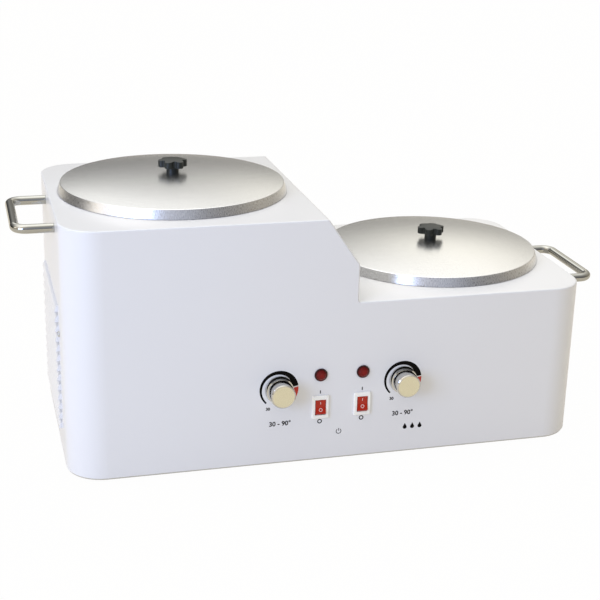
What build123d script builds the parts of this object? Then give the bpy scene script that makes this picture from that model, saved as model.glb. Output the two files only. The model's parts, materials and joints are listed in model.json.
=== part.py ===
from build123d import *
from math import atan2, cos, degrees, hypot, pi, radians, sin, sqrt, tan
import os

# Casing, in millimetres. X runs along the front, -Y is the front, Z = 0 is the surface it stands on
casing_depth = 231.0
upper_height = 218.0
lower_height = 143.5
slope_run = 28.3
riser_height = 33.8
corner_radius = 32.0
fold_radius = 2.5
edge_radius = 1.3
wall_sheet = 1.5
deck_sheet = 1.5
lip_width = 16.0
lip_sheet = 1.5

# Base plate, feet and their screws
base_sheet = 1.5
base_inset = 1.0
foot_height = 4.0
foot_radius = 10.0
foot_inset = 34.0
foot_web = 1.4
foot_recess_radius = 5.0
base_screw_radius = 1.7
base_screw_length = 7.0
base_screw_head_radius = 3.4
base_screw_head_height = 1.8
base_screw_spacing_x = 190.0
base_screw_spacing_y = 110.0
base_vent_length = 60.0
base_vent_width = 4.0
base_vent_pitch = 10.0
base_vent_count = 6
foot_edge = 1.0
foot_screw_set_back = 0.6
m4_radius = 2.0
m4_head_radius = 3.8
m4_flats = 7.0
m4_nut_height = 3.2

# Louvres pressed out of both side walls. The margins are flat wall between a louvre and the corner bends
louvre_margin_front = 25.5
louvre_margin_rear = 13.5
louvre_height = 6.0
louvre_proud = 3.0
louvre_sheet = 1.0
louvre_pitch = 9.0
louvre_lowest = 24.0
louvre_count = 13
louvre_below_handle = 6.0

# Small screws in the left wall, set back from the corner bends, and the cable clips that they hold
side_screw_set_back_front = 17.5
side_screw_set_back_rear = 4.5
side_screw_height_front = 115.0
side_screw_height_rear = 62.0
side_screw_radius = 1.5
side_screw_length = 6.5
side_screw_head_radius = 2.6
side_screw_head_height = 1.4
clip_bore = 4.0
clip_strap = 1.2
clip_width = 8.0

# Pots hung in the deck
pot_middle_y = 6.5
pot_radius = 91.0
pot_wall = 1.2
pot_corner = 14.0
pot_depth_left = 148.0
pot_depth_right = 96.0
pot_rim_width = 4.5
pot_rim_corner = 1.5
pot_rim_bend = 0.3
pot_mouth_edge = 1.0
deck_hole_gap = 1.0

# Lids. The casing is as wide as the lids and the bare deck that is left beside them
deck_margin_left = 8.3
deck_margin_right = 5.3
lid_slope_gap = 8.8
lid_riser_gap = 6.5
lid_rim_gap = 2.2
lid_band_height = 8.0
lid_flare = 2.8
lid_dome_height = 7.2
lid_sheet = 1.2
lid_edge = 0.7
lid_seat_gap = 0.3
lid_skirt_gap = 0.4

# Lobed knob on each lid, with the screw that holds it from below
lid_knob_radius = 12.8
lid_knob_lobes = 6
lid_knob_lobe_radius = 3.6
lid_knob_stem_radius = 5.5
lid_knob_stem_height = 4.8
lid_knob_head_height = 7.2
lid_knob_crown = 1.4
lid_knob_edge = 1.0
lid_knob_valley = 1.6
m5_radius = 2.5
m5_head_radius = 4.6
m5_head_height = 2.8
m5_flats = 8.0
m5_nut_height = 4.0
lid_screw_grip = 7.0
lid_washer_radius = 7.0
lid_washer_sheet = 1.0

# Rod handles at the two ends
handle_rod_radius = 4.0
handle_reach = 32.0
handle_bend = 10.0
handle_leg_spacing = 90.0
handle_middle_y = -10.0
handle_below_deck = 12.5
handle_stud_radius = 3.0
handle_stud_spare = 2.0
m6_flats = 10.0
m6_nut_height = 5.0
m6_washer_radius = 6.2
m6_washer_sheet = 1.6

# Front panel: places are measured from the panel's middle and the casing's bottom edge
panel_x = 4.0
dial_spacing = 112.0
dial_height = 69.0
switch_spacing = 38.0
switch_height = 49.5
lamp_spacing = 38.0
lamp_height = 79.5

# Thermostat dial knob
dial_reach = 17.0
dial_gap = 0.5
dial_base_radius = 12.5
dial_base_top_radius = 11.8
dial_base_height = 4.2
dial_groove_radius = 10.4
dial_groove_width = 1.0
dial_body_radius = 11.0
dial_face_radius = 10.0
dial_cavity_radius = 9.0
dial_cavity_depth = 5.5
dial_bore_end = 3.0
dial_mark_width = 1.2
dial_mark_depth = 0.5
dial_mark_length = 6.0
dial_mark_turn = 135.0
dial_base_edge = 0.7
dial_groove_chamfer = 0.4
dial_body_taper = 0.3
dial_face_edge = 0.8

# Thermostat behind the panel
shaft_radius = 3.0
shaft_flat = 0.8
shaft_fit = 0.05
bush_radius = 5.0
bush_proud = 4.5
thermostat_size = 30.0
thermostat_depth = 20.0
thermostat_bore = 10.0
thermostat_corner = 2.0
panel_nut_flats = 14.0
panel_nut_height = 2.5
capillary_radius = 1.0
capillary_bend = 4.5
capillary_rise = 6.0
bulb_radius = 3.0
bulb_length = 36.0
capillary_lead = 5.0
bulb_above_lead = 6.0
bulb_clip_sheet = 0.8
bulb_clip_width = 8.0
tab_width = 6.3
tab_sheet = 0.8
tab_length = 8.0

# Rocker switch
switch_flange_width = 15.0
switch_flange_height = 21.0
switch_flange_proud = 2.0
switch_flange_corner = 1.0
switch_flange_edge = 0.6
switch_body_width = 13.2
switch_body_height = 18.8
switch_body_depth = 13.6
rocker_width = 9.0
rocker_radius = 7.8
rocker_axis_depth = 4.0
rocker_back = 2.4
rocker_pin_radius = 1.2
rocker_pin_length = 1.2
rocker_travel = 18.0
rocker_mark_depth = 0.25
rocker_ring_radius = 1.7
rocker_ring_line = 0.7
rocker_ring_middle = 3.4
rocker_bar_width = 0.7
rocker_bar_height = 2.4
rocker_bar_middle = 4.1
running_gap = 0.4
pin_fit = 0.05

# Indicator lamp
lamp_flange_radius = 5.8
lamp_flange_height = 1.2
lamp_lens_radius = 4.8
lamp_lens_proud = 3.2
lamp_lens_facets = 10
lamp_body_radius = 4.5
lamp_body_length = 22.0
lamp_bore_radius = 3.6
lamp_seat_depth = 2.0
lamp_flange_edge = 0.4
lamp_end_wall = 2.0
lamp_plug_step = 0.6
lamp_lens_low_share = 0.35
lamp_lens_top_share = 0.62
lamp_nut_flats = 13.0
lamp_nut_height = 2.0

# Band heater round each pot
band_fit = 0.1
band_sheet = 3.0
band_above_bottom = 18.0
band_height_left = 40.0
band_height_right = 24.0
band_gap = 12.0
band_lug_reach = 13.0
band_lug_sheet = 3.0
band_lug_height = 16.0
band_lug_screw_reach = 8.0
band_lead_block = 12.0
band_lead_proud = 5.0
band_lead_turn = 60.0
band_clamp_turn = 45.0

# Mains inlet in the rear wall, and the terminal block on the base plate
inlet_height = 36.0
inlet_flange_width = 50.0
inlet_flange_height = 24.0
inlet_flange_sheet = 2.0
inlet_flange_corner = 5.0
inlet_cavity_chamfer = 4.0
inlet_body_width = 27.6
inlet_body_height = 19.6
inlet_body_depth = 20.0
inlet_cavity_width = 24.4
inlet_cavity_height = 16.4
inlet_cavity_depth = 16.5
inlet_pin_spacing = 7.0
inlet_pin_rise = 1.6
inlet_pin_width = 2.0
inlet_pin_height = 4.0
inlet_pin_tail = 8.0
inlet_pin_set_back = 3.0
inlet_screw_spacing = 40.0
m3_radius = 1.5
m3_head_radius = 2.8
m3_head_height = 1.8
m3_flats = 5.5
m3_nut_height = 2.4
block_length = 52.0
block_width = 20.0
block_height = 14.0
block_middle_y = 20.0
block_bores = 7
block_bore_radius = 1.4
block_bore_pitch = 5.6
block_screw_inset = 4.5
block_edge = 1.0

# Wiring
wire_radius = 1.1
wire_bend = 24.0
wire_stub = 13.0
wire_entry = 4.0
lead_rise = 3.5
feed_wire_drop = 5.0
dial_wire_aside = 18.0
heater_wire_aside = 4.0
heater_wire_back = 3.0
heater_wire_drop = 20.0
block_wire_back = 5.0
block_wire_rise = 28.0
lamp_wire_aside = 8.0
lamp_wire_drop = 11.0

# Fits shared by screws, studs and thin edges
clear_fit = 0.2
thread_fit = 0.05
screw_spare = 1.5
tiny = 0.05

# Levels and places worked out from the sizes above
base_z = foot_height
casing_z = base_z + base_sheet
upper_z = casing_z + upper_height
lower_z = casing_z + lower_height
rear_reach = inlet_flange_sheet + m3_head_height
casing_y = (dial_reach - rear_reach) / 2
front_y = casing_y - casing_depth / 2
rear_y = casing_y + casing_depth / 2
rim_radius = pot_radius + pot_rim_width
dome_edge_radius = rim_radius + lid_rim_gap + lid_sheet
dome_radius = (dome_edge_radius**2 + lid_dome_height**2) / (2 * lid_dome_height)
dome_top = lid_skirt_gap + lid_band_height + lid_dome_height
lid_radius = dome_edge_radius + lid_flare
left_share = deck_margin_left + 2 * lid_radius + lid_slope_gap
right_share = lid_riser_gap + 2 * lid_radius + deck_margin_right
casing_width = left_share + slope_run + right_share
side_x = casing_width / 2
slope_top_x = left_share - side_x
riser_x = side_x - right_share
pots = {
    "left": (-side_x + deck_margin_left + lid_radius, upper_z, pot_depth_left, band_height_left),
    "right": (side_x - deck_margin_right - lid_radius, lower_z, pot_depth_right, band_height_right),
}
pot_y = casing_y + pot_middle_y
flat_wall = casing_depth / 2 - corner_radius
louvre_length = 2 * flat_wall - louvre_margin_front - louvre_margin_rear
louvre_middle_y = (louvre_margin_front - louvre_margin_rear) / 2
side_screw_places = [
    (side_screw_set_back_front - flat_wall, side_screw_height_front),
    (flat_wall - side_screw_set_back_rear, side_screw_height_rear),
]
side_sign = {"left": -1, "right": 1}
tail_z = -wall_sheet - thermostat_depth
block_y = casing_y + block_middle_y

os.makedirs("parts", exist_ok=True)


def save(name, *solids):
    """Write one sub-part; several solids make a group"""
    shape = solids[0] if len(solids) == 1 else Compound(children=list(solids))
    export_step(shape, f"parts/{name}.step")


def front_place(x, height):
    """Local +Z points out of the front face, local +Y is up"""
    origin = (x, front_y, casing_z + height)
    return Plane(origin=origin, x_dir=(1, 0, 0), z_dir=(0, -1, 0)).location


def rear_place(x, height):
    """Local +Z points out of the rear face, local +Y is up"""
    origin = (x, rear_y, casing_z + height)
    return Plane(origin=origin, x_dir=(-1, 0, 0), z_dir=(0, 1, 0)).location


def side_place(sign, y, height):
    """Local +Z points out of a side wall, local +Y is up"""
    origin = (sign * side_x, casing_y + y, casing_z + height)
    return Plane(origin=origin, x_dir=(0, sign, 0), z_dir=(sign, 0, 0)).location


def rod(radius, low, high):
    """Cylinder along local Z from low to high"""
    return Pos(0, 0, low) * extrude(Circle(radius), high - low)


def cross_rod(radius, length):
    """Cylinder along local X, its middle at the origin"""
    return Rot(0, 90, 0) * extrude(Circle(radius), length / 2, both=True)


def slab(width, height, low, high):
    """Block along local Z from low to high"""
    return Pos(0, 0, low) * extrude(Rectangle(width, height), high - low)


def ring(outer, inner, low, high):
    return Pos(0, 0, low) * extrude(Circle(outer) - Circle(inner), high - low)


def pan_screw(radius, length, head_radius, head_height):
    """Shank along -Z, pan head along +Z with a cross recess"""
    head = rod(head_radius, 0, head_height)
    head = fillet(head.faces().sort_by(Axis.Z)[-1].edges(), head_height * 0.45)
    cross = slab(head_radius * 1.1, head_radius * 0.28, head_height * 0.45, head_height)
    cross += slab(head_radius * 0.28, head_radius * 1.1, head_height * 0.45, head_height)
    return head + rod(radius, -length, 0) - cross


def hex_nut(flats, bore, height):
    face = RegularPolygon(flats / 2, 6, major_radius=False) - Circle(bore)
    return extrude(face, height)


def plan(inset):
    """Casing outline seen from above, drawn in by inset"""
    width = casing_width - 2 * inset
    depth = casing_depth - 2 * inset
    return Pos(0, casing_y) * RectangleRounded(width, depth, corner_radius - inset)


def column(inset, low, high):
    return Pos(0, 0, low) * extrude(plan(inset), high - low)


def deck_line(drop):
    """Stepped line of the deck in X and Z, moved inwards by drop"""
    riser_top = lower_z + riser_height
    run = riser_x - slope_top_x
    fall = riser_top - upper_z
    length = hypot(run, fall)
    nx, nz = fall / length, -run / length
    top_x = slope_top_x + drop * (1 + nz) / nx
    foot_x = riser_x - drop
    foot_z = upper_z + (drop - (foot_x - slope_top_x) * nx) / nz
    return (top_x, upper_z - drop), (foot_x, foot_z), (foot_x, lower_z - drop)


def under_deck(drop):
    """Everything below the deck line, wider than the casing"""
    far = casing_width
    top, foot, low = deck_line(drop)
    points = [(-far, -far), (-far, top[1]), top, foot, low, (far, low[1]), (far, -far)]
    bend = fold_radius if drop == 0 else 0
    radii = [0, 0, bend, bend, bend, 0, 0]
    face = make_face(FilletPolyline(*points, radius=radii, close=True))
    return extrude(Plane.XZ * face, casing_depth, both=True)


def rim_edges(block):
    """Edges where the deck meets the wall, not the folds across the deck"""
    picked = []
    for edge in block.edges():
        middle = edge @ 0.5
        low, high = edge.bounding_box().min, edge.bounding_box().max
        upright = high.Z - low.Z > lower_height * 0.5
        across = high.Y - low.Y > casing_depth * 0.5 and abs(middle.X) < side_x * 0.5
        if middle.Z > lower_z - 1 and not upright and not across:
            picked.append(edge)
    return picked


def casing_block():
    """Solid form of the casing with its rounded top edges"""
    block = column(0, casing_z, upper_z) & under_deck(0)
    return fillet(rim_edges(block), min(edge_radius, wall_sheet * 0.95))


def louvre_places(side):
    """Heights of the louvres, the topmost one clear of the handle"""
    top = handle_height(side) - handle_rod_radius - louvre_below_handle - louvre_height
    heights = [louvre_lowest + i * louvre_pitch for i in range(louvre_count)]
    return [height for height in heights if height <= top]


def louvre_shape(sign, height, depth, rise, length, behind):
    """Quarter-round hood form on a side wall, reaching behind into the wall"""
    out = Plane(
        origin=(sign * side_x, casing_y + louvre_middle_y, casing_z + height),
        x_dir=(sign, 0, 0),
        z_dir=(0, -sign, 0),
    )
    arc = ThreePointArc((0, rise), (depth * 0.78, rise * 0.55), (depth, 0))
    outline = arc + Polyline((depth, 0), (-behind, 0), (-behind, rise), (0, rise))
    return extrude(out * make_face(outline), length / 2, both=True)


def base_screw_places():
    """Eight screws through the base plate into the casing's lip"""
    edge = wall_sheet + lip_width * 0.5
    xs = side_x - edge
    ys = casing_depth / 2 - edge
    sides = [(sx * xs, sy * base_screw_spacing_y / 2) for sx in (-1, 1) for sy in (-1, 1)]
    ends = [(sx * base_screw_spacing_x / 2, sy * ys) for sx in (-1, 1) for sy in (-1, 1)]
    return [(x, casing_y + y) for x, y in sides + ends]


def foot_places():
    x = side_x - foot_inset
    y = casing_depth / 2 - foot_inset
    names = {"front": -1, "rear": 1}
    return {
        f"foot_{name}_{side}": (side_sign[side] * x, casing_y + names[name] * y)
        for name in names
        for side in side_sign
    }


def pair(spacing):
    return {"left": panel_x - spacing / 2, "right": panel_x + spacing / 2}


def handle_legs():
    return [handle_middle_y - handle_leg_spacing / 2, handle_middle_y + handle_leg_spacing / 2]


def handle_height(side):
    return (upper_height if side == "left" else lower_height) - handle_below_deck


def make_casing():
    """Wall wrapped round the casing, and the deck welded in flush with its top edge"""
    block = casing_block()
    inside = column(wall_sheet, casing_z - 1, upper_z + 1)
    wall = block - inside
    lip = column(wall_sheet, casing_z, casing_z + lip_sheet)
    lip -= column(wall_sheet + lip_width, casing_z - 1, casing_z + lip_sheet + 1)
    wall += lip
    for side, sign in side_sign.items():
        for height in louvre_places(side):
            wall += louvre_shape(sign, height, louvre_proud, louvre_height, louvre_length, wall_sheet / 2)
        for height in louvre_places(side):
            wall -= louvre_shape(
                sign,
                height - tiny,
                louvre_proud - louvre_sheet,
                louvre_height - 1.5 * louvre_sheet,
                louvre_length - 2 * louvre_sheet,
                wall_sheet * 2,
            )
    for x in pair(dial_spacing).values():
        wall -= front_place(x, dial_height) * rod(bush_radius + clear_fit, -2 * wall_sheet, 1)
    for x in pair(switch_spacing).values():
        hole = slab(switch_body_width + clear_fit, switch_body_height + clear_fit, -2 * wall_sheet, 1)
        wall -= front_place(x, switch_height) * hole
    for x in pair(lamp_spacing).values():
        wall -= front_place(x, lamp_height) * rod(lamp_body_radius + clear_fit, -2 * wall_sheet, 1)
    for side, sign in side_sign.items():
        for y in handle_legs():
            hole = rod(handle_stud_radius + clear_fit, -2 * wall_sheet, 1)
            wall -= side_place(sign, y, handle_height(side)) * hole
    for y, height in side_screw_places:
        wall -= side_place(-1, y, height) * rod(side_screw_radius + clear_fit, -2 * wall_sheet, 1)
    opening = slab(inlet_body_width + clear_fit, inlet_body_height + clear_fit, -2 * wall_sheet, 1)
    wall -= rear_place(panel_x, inlet_height) * opening
    for x in (-inlet_screw_spacing / 2, inlet_screw_spacing / 2):
        wall -= rear_place(panel_x + x, inlet_height) * rod(m3_radius + clear_fit, -2 * wall_sheet, 1)
    for x, y in base_screw_places():
        wall -= Pos(x, y, casing_z) * rod(base_screw_radius + thread_fit, -1, lip_sheet + 1)
    save("wrap_casing", wall)

    deck = (block & inside) - under_deck(deck_sheet)
    for x, z, depth, band in pots.values():
        deck -= Pos(x, pot_y, z) * rod(pot_radius + deck_hole_gap, -2 * deck_sheet, 1)
    save("stepped_deck", deck)


def make_base():
    """Base plate with vents, its screws, the feet and their screws and nuts"""
    plate = column(base_inset, base_z, casing_z)
    feet = foot_places()
    for x, y in feet.values():
        plate -= Pos(x, y, base_z) * rod(m4_radius + clear_fit, -1, base_sheet + 1)
    for x, y in base_screw_places():
        plate -= Pos(x, y, base_z) * rod(base_screw_radius + clear_fit, -1, base_sheet + 1)
    for x, z, depth, band in pots.values():
        for i in range(base_vent_count):
            y = pot_y + (i - (base_vent_count - 1) / 2) * base_vent_pitch
            slot = extrude(SlotOverall(base_vent_length, base_vent_width), base_sheet + 2)
            plate -= Pos(x, y, base_z - 1) * slot
    for x in (-1, 1):
        hole = rod(m3_radius + clear_fit, -1, base_sheet + 1)
        plate -= Pos(panel_x + x * (block_length / 2 - block_screw_inset), block_y, base_z) * hole
    save("base_plate", plate)

    head = (base_screw_head_radius, base_screw_head_height)
    turned = Rot(180, 0, 0) * pan_screw(base_screw_radius, base_screw_length, *head)
    save("base_screws", *[Pos(x, y, base_z) * turned for x, y in base_screw_places()])

    for name, (x, y) in feet.items():
        foot = rod(foot_radius, 0, foot_height)
        foot = fillet(foot.faces().sort_by(Axis.Z)[0].edges(), foot_edge)
        foot -= rod(foot_recess_radius, -1, foot_height - foot_web)
        foot -= rod(m4_radius + clear_fit, -1, foot_height + 1)
        save(name, Pos(x, y, 0) * foot)
    head = foot_height - foot_web - foot_screw_set_back
    grip = foot_web + base_sheet + m4_nut_height + screw_spare
    foot_screw = Rot(180, 0, 0) * pan_screw(m4_radius, grip, m4_head_radius, head)
    save("foot_screws", *[Pos(x, y, foot_height - foot_web) * foot_screw for x, y in feet.values()])
    nut = hex_nut(m4_flats, m4_radius + thread_fit, m4_nut_height)
    save("foot_nuts", *[Pos(x, y, casing_z) * nut for x, y in feet.values()])


def make_handles():
    """Bent rod at each end, its studs held inside by washers and nuts"""
    washers = []
    nuts = []
    low, high = handle_legs()
    stud = wall_sheet + m6_washer_sheet + m6_nut_height + handle_stud_spare
    for side, sign in side_sign.items():
        height = casing_z + handle_height(side)
        tip = side_x + handle_reach
        points = [
            (sign * side_x, casing_y + low, height),
            (sign * tip, casing_y + low, height),
            (sign * tip, casing_y + high, height),
            (sign * side_x, casing_y + high, height),
        ]
        path = FilletPolyline(*points, radius=handle_bend)
        start = Plane(origin=path @ 0, z_dir=path % 0)
        handle = sweep(start * Circle(handle_rod_radius), path=path)
        for y in (low, high):
            at = side_place(sign, y, handle_height(side))
            handle += at * rod(handle_stud_radius, -stud, 0)
            washer = ring(m6_washer_radius, handle_stud_radius + clear_fit, -m6_washer_sheet, 0)
            washers.append(at * Pos(0, 0, -wall_sheet) * washer)
            nut = hex_nut(m6_flats, handle_stud_radius + thread_fit, m6_nut_height)
            nuts.append(at * Pos(0, 0, -wall_sheet - m6_washer_sheet - m6_nut_height) * nut)
        save(f"{side}_handle", handle)
    save("handle_washers", *washers)
    save("handle_nuts", *nuts)


def dome_height_at(radius):
    """Height of the lid's outer dome above its deck"""
    return dome_top - dome_radius + sqrt(dome_radius**2 - radius**2)


def make_pot(side):
    """Drawn pot whose turned-down rim stands on the deck"""
    x, z, depth, band = pots[side]
    rim_top = dome_height_at(rim_radius) - lid_sheet - lid_seat_gap
    inner = pot_radius - pot_wall
    corner = pot_corner - pot_wall
    bend = pot_rim_bend
    outline = FilletPolyline(
        (0, -depth),
        (pot_radius, -depth),
        (pot_radius, rim_top - pot_wall),
        (rim_radius - pot_wall, rim_top - pot_wall),
        (rim_radius - pot_wall, 0),
        (rim_radius, 0),
        (rim_radius, rim_top),
        (inner, rim_top),
        (inner, pot_wall - depth),
        (0, pot_wall - depth),
        radius=[0, pot_corner, bend, bend, 0, 0, pot_rim_corner, pot_mouth_edge, corner, 0],
        close=True,
    )
    pot = revolve(Plane.XZ * make_face(outline), axis=Axis.Z)
    save(f"{side}_pot", Pos(x, pot_y, z) * pot)


def make_lid(side):
    """Spun lid: shallow dome, flared band"""
    x, z, depth, band = pots[side]
    low = lid_skirt_gap
    shoulder = low + lid_band_height
    hole = m5_radius + clear_fit
    inner_edge = dome_edge_radius - lid_sheet

    def dome_arc(near, far, drop):
        middle = (near + far) / 2
        heights = [dome_height_at(r) - drop for r in (near, middle, far)]
        return ThreePointArc((near, heights[0]), (middle, heights[1]), (far, heights[2])), heights

    top_arc, top = dome_arc(hole, dome_edge_radius, 0)
    under_arc, under = dome_arc(hole, inner_edge, lid_sheet)
    outline = top_arc + Polyline(
        (dome_edge_radius, shoulder),
        (lid_radius, low),
        (lid_radius - lid_sheet, low),
        (inner_edge, under[2]),
    )
    outline += under_arc
    outline += Line((hole, under[0]), (hole, top[0]))
    lid = revolve(Plane.XZ * make_face(outline), axis=Axis.Z)
    shoulder_edges = [e for e in lid.edges() if abs(e.length - 2 * pi * dome_edge_radius) < 0.01]
    lid = fillet(shoulder_edges, lid_edge)
    save(f"{side}_lid", Pos(x, pot_y, z) * lid)

    washer_top = dome_height_at(lid_washer_radius) - lid_sheet
    washer = ring(lid_washer_radius, hole, washer_top - lid_washer_sheet, washer_top)
    save(f"{side}_lid_washer", Pos(x, pot_y, z) * washer)

    seat = dome_top
    star_radius = lid_knob_radius - lid_knob_lobe_radius
    star = Circle(star_radius)
    for i in range(lid_knob_lobes):
        angle = radians(i * 360 / lid_knob_lobes)
        star += Pos(star_radius * cos(angle), star_radius * sin(angle)) * Circle(lid_knob_lobe_radius)
    star = fillet(star.vertices(), lid_knob_valley)
    head_low = seat + lid_knob_stem_height
    head_high = head_low + lid_knob_head_height
    head = Pos(0, 0, head_low) * extrude(star, lid_knob_head_height)
    head = fillet(head.faces().sort_by(Axis.Z)[-1].edges(), lid_knob_edge)
    head = fillet(head.faces().sort_by(Axis.Z)[0].edges(), lid_knob_edge * 0.6)
    crown = (lid_knob_radius**2 + lid_knob_crown**2) / (2 * lid_knob_crown)
    head &= Pos(0, 0, head_high - crown) * Sphere(crown)
    knob = head + rod(lid_knob_stem_radius, seat, head_low)
    knob -= rod(m5_radius + thread_fit, seat - 1, seat + lid_screw_grip + 1)
    save(f"{side}_lid_knob", Pos(x, pot_y, z) * knob)

    head_at = washer_top - lid_washer_sheet
    grip = seat + lid_screw_grip - head_at
    screw = Rot(180, 0, 0) * pan_screw(m5_radius, grip, m5_head_radius, m5_head_height)
    save(f"{side}_lid_screw", Pos(x, pot_y, z) * Pos(0, 0, head_at) * screw)


def flat_rod(radius, flat, low, high):
    """Rod with one flat, its flat towards local -Y"""
    body = rod(radius, low, high)
    cut = Pos(0, flat - 2 * radius, 0) * slab(4 * radius, 2 * radius, low - 1, high + 1)
    return body - cut


def make_dial(side):
    """Turned chrome knob on a flatted shaft"""
    at = front_place(pair(dial_spacing)[side], dial_height)
    base_top = dial_gap + dial_base_height
    groove_low = base_top + dial_groove_chamfer
    groove_high = groove_low + dial_groove_width
    outline = Polyline(
        (0, dial_gap + dial_cavity_depth),
        (dial_cavity_radius, dial_gap + dial_cavity_depth),
        (dial_cavity_radius, dial_gap),
        (dial_base_radius, dial_gap),
        (dial_base_radius, dial_gap + dial_base_edge),
        (dial_base_top_radius, base_top),
        (dial_groove_radius, groove_low),
        (dial_groove_radius, groove_high),
        (dial_body_radius, groove_high + dial_groove_chamfer),
        (dial_body_radius - dial_body_taper, dial_reach - dial_face_edge),
        (dial_face_radius, dial_reach),
        (0, dial_reach),
        (0, dial_gap + dial_cavity_depth),
    )
    knob = revolve(Plane.XZ * make_face(outline), axis=Axis.Z)
    bore_high = dial_reach - dial_bore_end
    knob -= flat_rod(shaft_radius + shaft_fit, shaft_flat - shaft_fit, 0, bore_high + shaft_fit)
    low = dial_reach - dial_mark_length
    pointer = Pos(0, dial_body_radius) * slab(dial_mark_width, 2 * dial_mark_depth, low, dial_reach)
    knob -= Rot(0, 0, dial_mark_turn) * pointer
    save(f"{side}_dial_knob", at * knob)

    inner_end = -wall_sheet - thermostat_bore + 0.5
    shaft = rod(shaft_radius, inner_end, bush_proud)
    shaft += flat_rod(shaft_radius, shaft_flat, bush_proud, bore_high)
    save(f"{side}_dial_shaft", at * shaft)


def make_thermostat(side):
    """Thermostat body with its bush through the panel, sensing bulb clipped to the pot"""
    x = pair(dial_spacing)[side]
    at = front_place(x, dial_height)
    body = extrude(RectangleRounded(thermostat_size, thermostat_size, thermostat_corner), thermostat_depth)
    body = Pos(0, 0, tail_z) * body
    body += rod(bush_radius, -wall_sheet, bush_proud)
    body -= rod(shaft_radius + shaft_fit, -wall_sheet - thermostat_bore, bush_proud + 1)
    save(f"{side}_thermostat", at * body)

    pot_x, deck_z, depth, band = pots[side]
    top_z = casing_z + dial_height + thermostat_size / 2
    start = Vector(x, front_y + wall_sheet + thermostat_depth / 2, top_z)
    angle = atan2(start.Y - pot_y, start.X - pot_x)
    reach = pot_radius + bulb_radius + band_fit
    bulb_x = pot_x + reach * cos(angle)
    bulb_y = pot_y + reach * sin(angle)
    band_top = deck_z - depth + band_above_bottom + band
    level = band_top + capillary_lead
    bulb_low = level + bulb_above_lead
    points = [
        (start.X, start.Y, start.Z),
        (start.X, start.Y, start.Z + capillary_rise),
        (bulb_x, bulb_y, level),
        (bulb_x, bulb_y, bulb_low),
    ]
    path = FilletPolyline(*points, radius=bend_radii(points, capillary_bend))
    line = sweep(Plane(origin=path @ 0, z_dir=path % 0) * Circle(capillary_radius), path=path)
    bulb = Pos(bulb_x, bulb_y, bulb_low) * rod(bulb_radius, 0, bulb_length)
    save(f"{side}_capillary", line + bulb)

    clips = []
    inner = bulb_radius + tiny
    outer = inner + bulb_clip_sheet
    strap = Circle(outer) + Pos(-outer / 2, 0) * Rectangle(outer, 2 * outer)
    strap -= Circle(inner) + Pos(-outer / 2 - 1, 0) * Rectangle(outer + 2, 2 * inner)
    keep_out = Pos(pot_x, pot_y, bulb_low) * rod(pot_radius + tiny, -1, bulb_length + 1)
    at_bulb = Pos(bulb_x, bulb_y, bulb_low) * Rot(0, 0, degrees(angle))
    for share in (0.25, 0.75):
        low = bulb_length * share - bulb_clip_width / 2
        clips.append(at_bulb * Pos(0, 0, low) * extrude(strap, bulb_clip_width) - keep_out)
    return clips


def tab_pair(at, spacing, depth, length):
    """Two flat spade terminals standing off the back of a device"""
    tabs = []
    for x in (-spacing / 2, spacing / 2):
        tab = Pos(x, 0, 0) * slab(tab_sheet, tab_width, depth - length, depth)
        tabs.append(at * tab)
    return tabs


def make_switch(side):
    """Housing with its bezel, and the rocker on two pins. Switched on: upper half flush"""
    at = front_place(pair(switch_spacing)[side], switch_height)
    proud = switch_flange_proud
    axis_z = proud - rocker_axis_depth
    bezel = RectangleRounded(switch_flange_width, switch_flange_height, switch_flange_corner)
    housing = extrude(bezel, proud)
    housing = fillet(housing.faces().sort_by(Axis.Z)[-1].edges(), switch_flange_edge)
    housing += slab(switch_body_width, switch_body_height, -switch_body_depth, 0)
    pocket_radius = rocker_radius + running_gap
    pocket_width = rocker_width + 2 * running_gap
    housing -= Pos(0, 0, axis_z) * cross_rod(pocket_radius, pocket_width)
    pin_length = rocker_width + 2 * rocker_pin_length
    housing -= Pos(0, 0, axis_z) * cross_rod(rocker_pin_radius + pin_fit, pin_length + 2 * running_gap)
    save(f"{side}_switch_housing", at * housing)

    lift = rocker_axis_depth
    slant = radians(rocker_travel)
    far = 3 * rocker_radius
    outline = Polyline(
        (far, lift),
        (0, lift),
        (-far * cos(slant), lift + far * sin(slant)),
        (-far, -rocker_back),
        (far, -rocker_back),
        (far, lift),
    )
    face = make_face(outline) & Circle(rocker_radius)
    rocker = extrude(Plane.YZ * face, rocker_width / 2, both=True)
    rocker += cross_rod(rocker_pin_radius, pin_length)
    depth = rocker_mark_depth
    bar = slab(rocker_bar_width, rocker_bar_height, lift - depth, lift + 1)
    rocker -= Pos(0, rocker_bar_middle, 0) * bar
    inner = rocker_ring_radius - rocker_ring_line
    ring_lift = lift * cos(slant)
    mark = ring(rocker_ring_radius, inner, ring_lift - depth, ring_lift + 3)
    rocker -= Rot(-rocker_travel, 0, 0) * Pos(0, -rocker_ring_middle, 0) * mark
    save(f"{side}_rocker", at * Pos(0, 0, axis_z) * rocker)
    return tab_pair(at, tab_width, -switch_body_depth, tab_length)


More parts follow.
